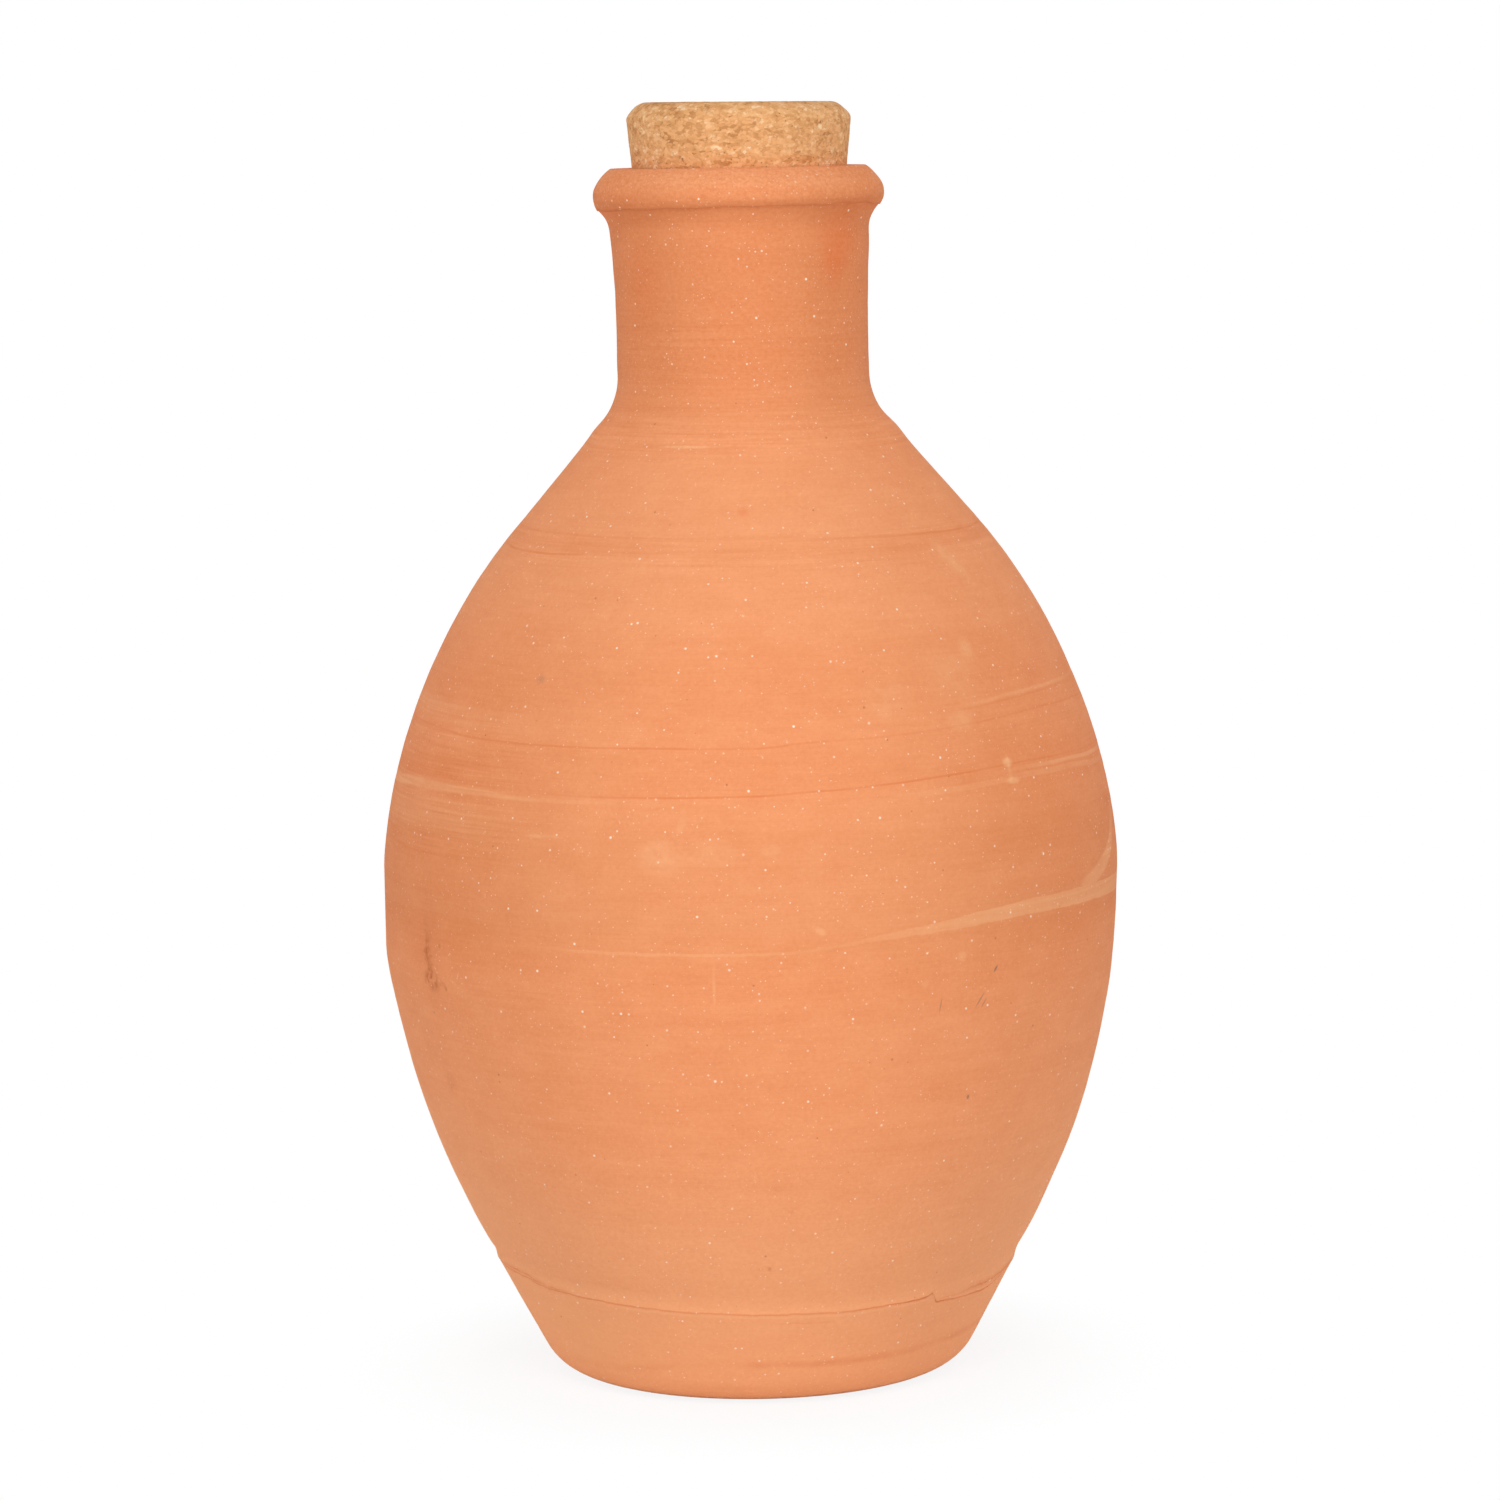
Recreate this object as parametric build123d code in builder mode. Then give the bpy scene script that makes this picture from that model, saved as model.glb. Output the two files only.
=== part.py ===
from build123d import *
from math import atan2, cos, radians, sin, tan
import os

# A terracotta water jar: a bottle thrown on the wheel and fired without glaze, closed by
# a tapered stopper of pressed cork granules.
#
# Two pieces make it up. The jar is one wall of clay, drawn here as two outlines turned
# about the axis: its turned outside, and the cavity with the finger rings that throwing
# leaves inside. The stopper wedges into the cone of the mouth and lifts out upwards.
#
# Sizes are millimetres and angles are degrees. Z is up, and the origin is on the ground,
# on the jar's axis. Outlines are drawn as (radius, height).

# Jar, outside
belly_radius = 90.6
belly_height = 122.0
shoulder_rise = 117.6  # from the belly to where the shoulder's cone would meet the neck
shoulder_angle = 40.5  # between the shoulder's cone and the axis
shoulder_cone_length = 40.0
shoulder_round_share = 0.6  # how full the curve from the belly to the cone is
neck_radius = 30.9  # at the waist
neck_root_rounding = 18.0
neck_waist_height = 16.0  # above the neck's root
neck_spread = 0.9  # radius that the neck gains from its waist to its flare
neck_height = 56.8  # from its root to the rim

# Foot, a turned band below the seam
foot_radius = 49.7  # where its wall would meet the ground
foot_rounding = 13.0
foot_ring_width = 8.5
foot_hollow = 1.2
seam_radius = 63.1
seam_height = 25.2
seam_gap = 0.7
seam_cut = 0.4
seam_overhang = 0.5
heel_rise = 5.8  # from the seam to where the belly's curve begins
heel_width = 2.5  # radius that the wall gains over that rise

# Lip, rolled outwards and bevelled
lip_overhang = 4.4
lip_height = 9.9  # from the crease under it to the rim
lip_bulge = 0.55
lip_bevel_width = 3.8
lip_bevel_height = 4.8
lip_bevel_bulge = 0.5
lip_crease = 0.35
flare_height = 5.6
flare_width = 2.4

# Jar, inside
wall = 6.0
heel_wall = 7.5
floor_thickness = 9.0
floor_edge_inset = 23.7  # from the foot's radius to the edge of the flat floor
neck_wall = 5.9
neck_inner_rounding = 12.0
lower_rings = 6
upper_rings = 4
ring_depth = 0.6
mouth_seat_depth = 16.0
mouth_edge_rounding = 1.0

# Stopper
cork_taper_share = 0.1  # radius gained for each unit of height
cork_proud = 16.0
cork_insert = 19.0
cork_bevel_width = 3.0
cork_bevel_height = 4.5
cork_foot_bevel = 1.0
seat_clearance = 0.3

overrun = 10.0  # how far a cut runs past what it cuts

# Heights and radii that follow from these
neck_root_height = belly_height + shoulder_rise
rim_height = neck_root_height + neck_height
floor_flat_radius = foot_radius - floor_edge_inset
bore_radius = neck_radius - neck_wall
mouth_radius = bore_radius + mouth_seat_depth * cork_taper_share
lip_radius = neck_radius + lip_overhang
up_the_shoulder = Vector(-sin(radians(shoulder_angle)), cos(radians(shoulder_angle)))
out_of_the_shoulder = Vector(cos(radians(shoulder_angle)), sin(radians(shoulder_angle)))


def bulged_arc(start, end, bulge):
    """An upward arc that stands proud of its chord by the bulge, away from the axis."""
    chord = Vector(end) - Vector(start)
    outwards = Vector(chord.Y, -chord.X).normalized()
    return ThreePointArc(start, (Vector(start) + Vector(end)) / 2 + outwards * bulge, end)


def shoulder_points(inset):
    """The belly, the corner of the curve above it, and the foot of the shoulder's cone."""
    belly = Vector(belly_radius - inset, belly_height)
    root = Vector(neck_radius, neck_root_height)
    cone_foot = root - up_the_shoulder * shoulder_cone_length - out_of_the_shoulder * inset
    corner_drop = (belly.X - cone_foot.X) / tan(radians(shoulder_angle))
    corner = Vector(belly.X, cone_foot.Y - corner_drop)
    return belly, corner, cone_foot


def shoulder_curve(inset, mode=Mode.ADD):
    """The curve from the belly to the shoulder's cone, set in from the outside."""
    belly, corner, cone_foot = shoulder_points(inset)
    above_belly = belly + (corner - belly) * shoulder_round_share
    below_cone = cone_foot + (corner - cone_foot) * shoulder_round_share
    return Bezier(belly, above_belly, below_cone, cone_foot, mode=mode)


def lower_belly(mode=Mode.ADD):
    """The arc from the belly down to the heel, which is hollowed above the seam."""
    belly, _, _ = shoulder_points(0)
    heel = Vector(seam_radius + heel_width, seam_height + heel_rise)
    return TangentArc(belly, heel, tangent=(0, -1), mode=mode)


def draw_foot():
    """The hollow under the foot, the ring that it stands on and the wall up to the seam."""
    lean = atan2(seam_radius - foot_radius, seam_height)
    tangent_length = foot_rounding * tan((radians(90) - lean) / 2)
    ring_edge = foot_radius - tangent_length
    hollow_edge = ring_edge - foot_ring_width
    wall_start = Vector(foot_radius, 0) + Vector(sin(lean), cos(lean)) * tangent_length
    TangentArc((0, foot_hollow), (hollow_edge, 0), tangent=(1, 0))
    Line((hollow_edge, 0), (ring_edge, 0))
    TangentArc((ring_edge, 0), wall_start, tangent=(1, 0))
    Line(wall_start, (seam_radius, seam_height))


def draw_seam_and_belly():
    """The torn seam, the hollow heel above it and the belly up to the shoulder."""
    seam_foot = Vector(seam_radius, seam_height)
    seam_bottom = seam_foot + Vector(-seam_cut, seam_gap / 2)
    wall_edge = seam_foot + Vector(seam_overhang, seam_gap)
    belly_arc = lower_belly()
    TangentArc(belly_arc @ 1, wall_edge, tangent=belly_arc % 1)
    Line(wall_edge, seam_bottom)
    Line(seam_bottom, seam_foot)
    shoulder_curve(0)


def draw_neck():
    """The cone of the shoulder, the rounded root of the neck and its waist."""
    _, _, cone_foot = shoulder_points(0)
    root = Vector(neck_radius, neck_root_height)
    tangent_length = neck_root_rounding * tan(radians(shoulder_angle) / 2)
    cone_top = root - up_the_shoulder * tangent_length
    neck_start = root + Vector(0, tangent_length)
    waist = root + Vector(0, neck_waist_height)
    flare_start = Vector(neck_radius + neck_spread, rim_height - lip_height - flare_height)
    Line(cone_foot, cone_top)
    TangentArc(cone_top, neck_start, tangent=up_the_shoulder)
    Line(neck_start, waist)
    return TangentArc(waist, flare_start, tangent=(0, 1))


def draw_lip(neck):
    """The flare at the top of the neck, the crease, the rolled edge and its bevel."""
    under_lip = Vector(neck_radius + neck_spread + flare_width, rim_height - lip_height)
    lip_bottom = under_lip + Vector(lip_crease, 0)
    bevel_bottom = Vector(lip_radius, rim_height - lip_bevel_height)
    bevel_top = Vector(lip_radius - lip_bevel_width, rim_height)
    TangentArc(neck @ 1, under_lip, tangent=neck % 1)
    Line(under_lip, lip_bottom)
    bulged_arc(lip_bottom, bevel_bottom, lip_bulge)
    bulged_arc(bevel_bottom, bevel_top, lip_bevel_bulge)
    Line(bevel_top, (0, rim_height))


def ring_crests():
    """The ridges between the finger rings, up the inside of the belly and the shoulder."""
    outside = lower_belly(mode=Mode.PRIVATE)
    down_the_wall = outside % 1
    into_the_wall = Vector(down_the_wall.Y, -down_the_wall.X)
    belly, _, _ = shoulder_points(wall)
    heel = outside @ 1 + into_the_wall * heel_wall
    below = TangentArc(belly, heel, tangent=(0, -1), mode=Mode.PRIVATE)
    above = shoulder_curve(wall, mode=Mode.PRIVATE)
    lower_crests = [below @ (1 - number / lower_rings) for number in range(lower_rings)]
    upper_crests = [above @ (number / upper_rings) for number in range(upper_rings + 1)]
    return lower_crests + upper_crests


def draw_cavity():
    """The inside of the jar: its floor, the finger rings, the bore and the mouth's cone."""
    crests = ring_crests()
    run_to_bore = (crests[-1].X - bore_radius) / sin(radians(shoulder_angle))
    bore_root = crests[-1] + up_the_shoulder * run_to_bore
    cone_end = bore_root - up_the_shoulder * neck_inner_rounding
    bore_start = bore_root + Vector(0, neck_inner_rounding)
    seat_start = Vector(bore_radius, rim_height - mouth_seat_depth)
    seat_end = Vector(mouth_radius + overrun * cork_taper_share, rim_height + overrun)
    Line((0, floor_thickness), (floor_flat_radius, floor_thickness))
    TangentArc((floor_flat_radius, floor_thickness), crests[0], tangent=(1, 0))
    for lower, upper in zip(crests, crests[1:]):
        bulged_arc(lower, upper, ring_depth)
    Line(crests[-1], cone_end)
    Bezier(cone_end, bore_root, bore_start)
    Line(bore_start, seat_start)
    Line(seat_start, seat_end)
    Line(seat_end, (0, seat_end.Y))
    Line((0, seat_end.Y), (0, floor_thickness))


with BuildPart() as jar:
    with BuildSketch(Plane.XZ):
        with BuildLine():
            draw_foot()
            draw_seam_and_belly()
            draw_lip(draw_neck())
            Line((0, rim_height), (0, foot_hollow))
        make_face()
    revolve(axis=Axis.Z)
    with BuildSketch(Plane.XZ):
        with BuildLine():
            draw_cavity()
        make_face()
    revolve(axis=Axis.Z, mode=Mode.SUBTRACT)
    rim_edges = jar.edges().filter_by(GeomType.CIRCLE).group_by(Axis.Z)[-1]
    fillet(rim_edges.sort_by(SortBy.RADIUS)[0], mouth_edge_rounding)
jar.part.label = "jar"


def stopper_radius(height):
    """The stopper's radius at a height above the rim, clear of the mouth's cone."""
    return mouth_radius - seat_clearance + height * cork_taper_share


def draw_stopper():
    """Half of the stopper: a tapered side and a bevelled top."""
    foot = Vector(stopper_radius(-cork_insert), rim_height - cork_insert)
    bevel_bottom = Vector(
        stopper_radius(cork_proud - cork_bevel_height), rim_height + cork_proud - cork_bevel_height
    )
    bevel_top = Vector(bevel_bottom.X - cork_bevel_width, rim_height + cork_proud)
    Line((0, foot.Y), foot)
    Line(foot, bevel_bottom)
    Line(bevel_bottom, bevel_top)
    Line(bevel_top, (0, bevel_top.Y))
    Line((0, bevel_top.Y), (0, foot.Y))


with BuildPart() as cork_stopper:
    with BuildSketch(Plane.XZ):
        with BuildLine():
            draw_stopper()
        make_face()
    revolve(axis=Axis.Z)
    foot_edge = cork_stopper.edges().filter_by(GeomType.CIRCLE).group_by(Axis.Z)[0]
    chamfer(foot_edge, cork_foot_bevel)
cork_stopper.part.label = "cork_stopper"

os.makedirs("parts", exist_ok=True)
for piece in (jar, cork_stopper):
    export_step(piece.part, "parts/" + piece.part.label + ".step")
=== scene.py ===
import math
import bpy
from mathutils import Euler, Matrix, Vector, noise
from mathutils.geometry import interpolate_bezier


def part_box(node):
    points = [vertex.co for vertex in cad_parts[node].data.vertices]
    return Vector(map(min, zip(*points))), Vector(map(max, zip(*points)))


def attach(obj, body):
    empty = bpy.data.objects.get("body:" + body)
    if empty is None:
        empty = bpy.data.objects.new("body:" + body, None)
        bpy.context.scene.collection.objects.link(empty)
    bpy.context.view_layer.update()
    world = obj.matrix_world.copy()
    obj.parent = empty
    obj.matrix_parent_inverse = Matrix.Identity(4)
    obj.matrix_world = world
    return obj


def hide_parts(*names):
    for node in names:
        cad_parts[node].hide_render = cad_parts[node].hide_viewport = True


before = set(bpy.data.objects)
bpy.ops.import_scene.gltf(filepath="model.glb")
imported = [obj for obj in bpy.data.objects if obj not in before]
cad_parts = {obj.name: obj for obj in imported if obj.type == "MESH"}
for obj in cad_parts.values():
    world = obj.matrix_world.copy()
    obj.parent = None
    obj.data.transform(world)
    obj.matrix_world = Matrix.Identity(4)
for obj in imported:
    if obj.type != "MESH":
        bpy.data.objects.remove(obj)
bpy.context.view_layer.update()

# A terracotta water jar with a cork, as the wheel and the kiln leave it. Each piece is an
# outline turned about the jar's axis, and its surface is then worked by hand. Outlines are
# drawn as (radius, height). Angles round the jar are degrees from the front, + to the right.
mm = 0.001
jar_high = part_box("jar")[1]
cork_low, cork_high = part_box("cork_stopper")

# Jar, outside
belly_radius = jar_high.x
rim_height = jar_high.z
belly_height = 122.0 * mm
shoulder_rise = 117.6 * mm
shoulder_angle = math.radians(40.5)
shoulder_cone_length = 40.0 * mm
shoulder_round_share = 0.6
neck_radius = 30.9 * mm
neck_root_rounding = 18.0 * mm
neck_waist_height = 16.0 * mm
neck_spread = 0.9 * mm
neck_root_height = belly_height + shoulder_rise

# Foot, seam and the heel above it
foot_radius = 49.7 * mm
foot_rounding = 13.0 * mm
foot_ring_width = 8.5 * mm
foot_hollow = 1.2 * mm
seam_radius = 63.1 * mm
seam_height = 25.2 * mm
seam_gap = 0.7 * mm
seam_cut = 0.4 * mm
seam_overhang = 0.5 * mm
heel_rise = 5.8 * mm
heel_width = 2.5 * mm

# Lip
lip_overhang = 4.4 * mm
lip_height = 9.9 * mm
lip_bulge = 0.55 * mm
lip_bevel_width = 3.8 * mm
lip_bevel_height = 4.8 * mm
lip_bevel_bulge = 0.5 * mm
lip_crease = 0.35 * mm
flare_height = 5.6 * mm
flare_width = 2.4 * mm
crease_height = rim_height - lip_height

# Jar, inside
wall = 6.0 * mm
heel_wall = 7.5 * mm
floor_thickness = 9.0 * mm
floor_flat_radius = 26.0 * mm
bore_radius = 25.0 * mm
neck_inner_rounding = 12.0 * mm
lower_rings = 6
upper_rings = 4
ring_depth = 0.6 * mm
mouth_seat_depth = 16.0 * mm
mouth_radius = 26.6 * mm
mouth_edge_rounding = 1.0 * mm

# Cork
cork_taper_share = 0.1
cork_bevel_width = 4.2 * mm
cork_bevel_height = 4.5 * mm
cork_foot_bevel = 1.0 * mm
cork_edge_rise = 0.5 * mm  # from the height where the bevel is set out to where it begins
cork_bevel_bulge = 0.55 * mm
cork_softening = 3  # times that its outline is worn round
cork_flake = Vector((3.4, 3.4, 1.9)) * mm  # the size of a granule that shows in relief
cork_groove_depth = 0.05 * mm
cork_lump_size = 2.4 * mm
cork_lump_depth = 0.10 * mm
cork_pit_size = 1.1 * mm
cork_pit_depth = 0.28 * mm
cork_top_drop = 0.25 * mm  # how far its face has sunk
cork_top_tilt_share = 0.01  # how much more it has sunk for each unit to the right

seam_slope_share = 0.5  # radius that the wall gains with height on either side of the seam
finer_below_seam = 4.0 * mm  # how far under the seam its finer points begin
finer_below_root = 5.0 * mm  # how far under the neck's root its finer points begin

# How far apart an outline's points lie on each stretch of it, in mm
spacings = {
    "underside": 7.0, "foot ring": 3.0, "foot edge": 1.1, "foot wall": 1.5, "under the seam": 0.5,
    "cut of the seam": 0.3, "edge of the seam": 0.4, "heel": 0.7, "belly": 2.1, "shoulder": 1.8,
    "cone": 1.8, "end of the cone": 0.6, "root": 1.0, "neck": 1.8, "flare": 0.8, "crease": 0.4,
    "lip": 0.6, "rim": 1.4, "edge of the mouth": 0.3, "seat": 2.5, "bore": 3.5, "inner root": 2.0,
    "inner cone": 4.0, "finger ring": 4.5, "inner foot": 4.0, "floor": 6.0, "cork's foot": 1.2,
    "cork's foot bevel": 0.5, "cork's side": 0.42, "cork's top": 0.6,
}

# Turning
string_parts = 20  # a string of points is cut into these, and each of them again
wheel_steps = 300  # points round each ring
weld_distance = 0.02 * mm
crisp_angle = math.radians(55)  # an edge that turns by more than this stays crisp

up_the_shoulder = Vector((-math.sin(shoulder_angle), math.cos(shoulder_angle)))
out_of_the_shoulder = Vector((math.cos(shoulder_angle), math.sin(shoulder_angle)))
outwards = Vector((1, 0))
inwards = Vector((-1, 0))
upwards = Vector((0, 1))
downwards = Vector((0, -1))
seam_foot = Vector((seam_radius, seam_height))
heel = Vector((seam_radius + heel_width, seam_height + heel_rise))
neck_root = Vector((neck_radius, neck_root_height))


def turned(direction, angle):
    """A direction of the outline, turned anticlockwise."""
    return Matrix.Rotation(angle, 2) @ direction


def arc_point(start, end, turn, share):
    """The point at a share of the way along an arc that turns by an angle as it goes."""
    chord = end - start
    if abs(turn) < 1e-6:
        return start + chord * share
    reach = math.sin(share * turn / 2) / math.sin(turn / 2)
    return start + turned(chord, (share - 1) * turn / 2) * reach


def turn_from(heading, start, end):
    """How far an arc turns if it leaves its start in a heading and runs to its end."""
    return -2 * heading.angle_signed(end - start)


class Outline:
    """A piece's outline, laid point by point one stretch after another."""

    def __init__(self, start):
        self.points = [Vector(start)]
        self.heading = outwards

    def parts(self, end, stretch):
        """How many parts a stretch is laid in, up to its end."""
        return max(1, round((end - self.points[-1]).length / (spacings[stretch] * mm)))

    def bend(self, end, turn, stretch):
        """An arc to the end, turning by an angle: anticlockwise is positive."""
        start = self.points[-1]
        end = Vector(end)
        count = self.parts(end, stretch)
        for number in range(1, count + 1):
            self.points.append(arc_point(start, end, turn, number / count))
        self.heading = turned((end - start).normalized(), turn / 2)

    def line(self, end, stretch):
        """A straight stretch."""
        self.bend(end, 0, stretch)

    def sweep_on(self, end, stretch, heading=None):
        """An arc that leaves in the heading of the stretch before it, or in a given one."""
        leaving = self.heading if heading is None else heading
        self.bend(end, turn_from(leaving, self.points[-1], Vector(end)), stretch)

    def bulge(self, end, height, stretch):
        """An arc that stands off its chord, to the right of the way it runs."""
        length = (Vector(end) - self.points[-1]).length
        self.bend(end, 4 * math.atan(2 * height / length), stretch)

    def curve(self, first_handle, second_handle, end, stretch):
        """A smooth curve that leaves towards one handle and arrives from the other."""
        points = self.parts(end, stretch) + 1
        self.points += interpolate_bezier(self.points[-1], first_handle, second_handle, end, points)[1:]
        self.heading = (self.points[-1] - self.points[-2]).normalized()


def shoulder_curve(inset):
    """The belly, the two handles of the curve above it, and the foot of the shoulder's cone."""
    belly = Vector((belly_radius - inset, belly_height))
    cone_foot = neck_root - up_the_shoulder * shoulder_cone_length - out_of_the_shoulder * inset
    corner_drop = (belly.x - cone_foot.x) / math.tan(shoulder_angle)
    corner = Vector((belly.x, cone_foot.y - corner_drop))
    above_belly = belly.lerp(corner, shoulder_round_share)
    below_cone = cone_foot.lerp(corner, shoulder_round_share)
    return belly, above_belly, below_cone, cone_foot


def draw_foot(pen):
    """The hollow underside, the ring that the jar stands on and the wall up to the seam."""
    lean = math.atan2(seam_radius - foot_radius, seam_height)
    tangent_length = foot_rounding * math.tan((math.pi / 2 - lean) / 2)
    ring_edge = foot_radius - tangent_length
    up_the_wall = Vector((math.sin(lean), math.cos(lean)))
    wall_start = Vector((foot_radius, 0)) + up_the_wall * tangent_length
    pen.sweep_on((ring_edge - foot_ring_width, 0), "underside", heading=outwards)
    pen.line((ring_edge, 0), "foot ring")
    pen.sweep_on(wall_start, "foot edge", heading=outwards)
    pen.line(seam_foot - up_the_wall * finer_below_seam, "foot wall")
    pen.line(seam_foot, "under the seam")


def draw_seam_and_belly(pen):
    """The torn seam, the hollow heel above it, the belly and the shoulder."""
    belly, above_belly, below_cone, cone_foot = shoulder_curve(0)
    wall_edge = seam_foot + Vector((seam_overhang, seam_gap))
    belly_turn = turn_from(downwards, belly, heel)
    heel_turn = turn_from(turned(downwards, belly_turn), heel, wall_edge)
    pen.line(seam_foot + Vector((-seam_cut, seam_gap / 2)), "cut of the seam")
    pen.line(wall_edge, "edge of the seam")
    pen.bend(heel, -heel_turn, "heel")
    pen.bend(belly, -belly_turn, "belly")
    pen.curve(above_belly, below_cone, cone_foot, "shoulder")


def draw_neck(pen):
    """The cone of the shoulder, the rounded root of the neck, its waist and its flare."""
    tangent_length = neck_root_rounding * math.tan(shoulder_angle / 2)
    cone_top = neck_root - up_the_shoulder * tangent_length
    pen.line(cone_top - up_the_shoulder * finer_below_root, "cone")
    pen.line(cone_top, "end of the cone")
    pen.sweep_on(neck_root + upwards * tangent_length, "root", heading=up_the_shoulder)
    pen.line(neck_root + upwards * neck_waist_height, "neck")
    pen.sweep_on((neck_radius + neck_spread, crease_height - flare_height), "neck", heading=upwards)


def draw_lip(pen):
    """The crease under the lip, its rolled edge, its bevel and the flat of the rim."""
    under_lip = Vector((neck_radius + neck_spread + flare_width, crease_height))
    lip_radius = neck_radius + lip_overhang
    down_the_seat = Vector((-cork_taper_share, -1)).normalized()
    mouth_edge = Vector((mouth_radius, rim_height))
    tangent_length = mouth_edge_rounding / math.tan((math.pi / 2 + math.atan(cork_taper_share)) / 2)
    pen.sweep_on(under_lip, "flare")
    pen.line(under_lip + outwards * lip_crease, "crease")
    pen.bulge((lip_radius, rim_height - lip_bevel_height), lip_bulge, "lip")
    pen.bulge((lip_radius - lip_bevel_width, rim_height), lip_bevel_bulge, "lip")
    pen.line(mouth_edge + outwards * tangent_length, "rim")
    pen.sweep_on(mouth_edge + down_the_seat * tangent_length, "edge of the mouth", heading=inwards)


def ring_crests():
    """The ridges between the finger rings inside, from the floor's edge up to the neck."""
    belly, _, _, _ = shoulder_curve(0)
    down_the_wall = turned(downwards, turn_from(downwards, belly, heel))
    inner_heel = heel + turned(down_the_wall, -math.pi / 2) * heel_wall
    inner_curve = shoulder_curve(wall)
    turn = turn_from(downwards, inner_curve[0], inner_heel)
    shares = [1 - number / lower_rings for number in range(lower_rings)]
    lower = [arc_point(inner_curve[0], inner_heel, turn, share) for share in shares]
    return lower + interpolate_bezier(*inner_curve, upper_rings + 1)


def draw_cavity(pen):
    """The cone of the mouth, the bore, the finger rings and the floor."""
    crests = ring_crests()
    run_to_bore = (crests[-1].x - bore_radius) / math.sin(shoulder_angle)
    bore_root = crests[-1] + up_the_shoulder * run_to_bore
    cone_end = bore_root - up_the_shoulder * neck_inner_rounding
    bore_start = bore_root + upwards * neck_inner_rounding
    pen.line((bore_radius, rim_height - mouth_seat_depth), "seat")
    pen.line(bore_start, "bore")
    pen.curve(bore_start.lerp(bore_root, 2 / 3), cone_end.lerp(bore_root, 2 / 3), cone_end, "inner root")
    pen.line(crests[-1], "inner cone")
    for crest in reversed(crests[:-1]):
        pen.bulge(crest, -ring_depth, "finger ring")
    pen.sweep_on((floor_flat_radius, floor_thickness), "inner foot")
    pen.line((0, floor_thickness), "floor")


def turn_on_the_wheel(name, points):
    """One closed piece: a string of points is laid along its outline and turned round."""
    bpy.ops.object.select_all(action="DESELECT")
    bpy.ops.mesh.primitive_plane_add(size=mm, location=(0, 0, 0))
    piece = bpy.context.object
    piece.name = name
    bpy.ops.object.mode_set(mode="EDIT")
    bpy.ops.mesh.merge(type="CENTER")
    bpy.ops.mesh.extrude_region_move(TRANSFORM_OT_translate={"value": (0, 0, rim_height)})
    bpy.ops.mesh.select_all(action="SELECT")
    bpy.ops.mesh.subdivide(number_cuts=string_parts - 1)
    bpy.ops.mesh.subdivide(number_cuts=math.ceil(len(points) / string_parts))
    bpy.ops.object.mode_set(mode="OBJECT")
    string = sorted(piece.data.vertices, key=lambda vertex: vertex.co.z)
    spare = [points[-1]] * (len(string) - len(points))
    for vertex, point in zip(string, points + spare):
        vertex.co = (point.x, 0, point.y)
    wheel = piece.modifiers.new("wheel", "SCREW")
    wheel.steps = wheel.render_steps = wheel_steps
    wheel.use_merge_vertices = True
    wheel.merge_threshold = weld_distance
    bpy.ops.object.modifier_apply(modifier=wheel.name)
    bpy.ops.object.mode_set(mode="EDIT")
    bpy.ops.mesh.select_all(action="SELECT")
    bpy.ops.mesh.remove_doubles(threshold=weld_distance)
    bpy.ops.mesh.normals_make_consistent(inside=False)
    bpy.ops.object.mode_set(mode="OBJECT")
    bpy.ops.object.shade_smooth_by_angle(angle=crisp_angle)
    return piece


def between(knots, at):
    """The value at a place along a list of (place, value), eased from knot to knot."""
    if at <= knots[0][0]:
        return knots[0][1]
    for (low, first), (high, second) in zip(knots, knots[1:]):
        if at <= high:
            share = (at - low) / (high - low)
            return first + (second - first) * share * share * (3 - 2 * share)
    return knots[-1][1]


def eased(value, low, high):
    """0 below the low value, 1 above the high one, and smooth in between."""
    share = min(1, max(0, (value - low) / (high - low)))
    return share * share * (3 - 2 * share)


def faded(value, start, full, fading, end):
    """0 outside the start and the end, 1 from full to fading, and smooth in between."""
    return eased(value, start, full) * (1 - eased(value, fading, end))


def swell(value, middle, reach):
    """A round hump: 1 in its middle, and gone at about twice its reach."""
    return math.exp(-(((value - middle) / reach) ** 2))


# Where the seam runs round the jar, as (angle, height in mm), and how far it is torn open
seam_path = [
    (-180, 26.4), (-150, 27.0), (-120, 26.6), (-96, 27.8), (-75, 28.4), (-62, 28.2), (-54, 27.0),
    (-40, 26.3), (-27, 25.6), (-13, 25.1), (7, 24.6), (20, 24.4), (32, 24.7), (39, 25.1), (41.2, 26.2),
    (42.8, 23.4), (52, 22.9), (63, 22.9), (75, 25.4), (96, 26.4), (130, 25.6), (155, 25.4), (180, 26.4),
]
seam_tears = [
    (-180, 0.4), (-150, 0.2), (-120, 0.5), (-76, 0.7), (-49, 0.5), (-30, 0.3), (-18, 0.12), (0, 0.08),
    (16, 0.2), (30, 0.5), (38, 0.9), (40.9, 1.0), (41.6, 0), (42.4, 0), (43, 0.9), (52, 0.5),
    (62, 0.9), (78, 0.8), (100, 0.5), (140, 0.3), (180, 0.4),
]

# How far the crease under the lip rises above where it was turned, as (angle, mm)
crease_rise = [
    (-180, 0.3), (-98, -0.4), (-80, -0.2), (-50, 0.3), (-17, 0.5), (-4, 0.9), (30, 1.1), (60, 1.1),
    (80, 0.5), (95, 0.2), (130, 0.3), (180, 0.3),
]

# How far the wall leans off the axis, as (height in mm, mm to the right)
lean_by_height = [
    (0, 0.15), (33, 0.1), (55, 0.1), (80, -0.12), (92, -0.3), (104, -0.62), (117, -0.56),
    (129, -0.17), (141, 0), (166, 0.1), (190, 0.35), (210, 0.56), (229, 0.46), (240, 0.2),
    (252, 0.08), (264, 0.06), (276, -0.17), (284, -0.38), (290, -0.34), (296, 0),
]


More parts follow.
